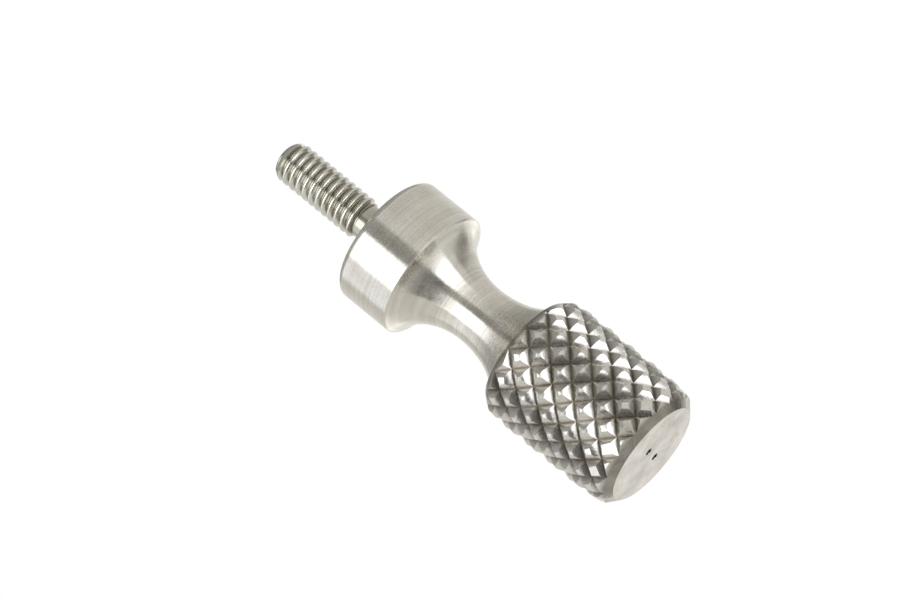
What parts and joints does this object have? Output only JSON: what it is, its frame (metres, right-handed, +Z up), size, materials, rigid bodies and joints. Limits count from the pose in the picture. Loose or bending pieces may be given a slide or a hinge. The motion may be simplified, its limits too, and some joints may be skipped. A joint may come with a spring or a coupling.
{
  "type": "knurled knob",
  "caption": "Small turned knob in one piece: a diamond-knurled grip, a hollow waist, a plain round collar and a threaded stud that screws it in place.",
  "frame": {"origin": "centre of the flat end face of the knurled grip, where the knob stands", "axes": "+Z up the axis from the grip to the threaded stud; the two small pits in the end face lie along Y"},
  "size_m": [0.0126, 0.0126, 0.0449],
  "materials": {
    "turned_metal": "bare turned metal, satin with fine tool marks, shiny on the knurl"
  },
  "bodies": {
    "root": {"knurled_knob": "turned_metal"}
  },
  "joints": []
}
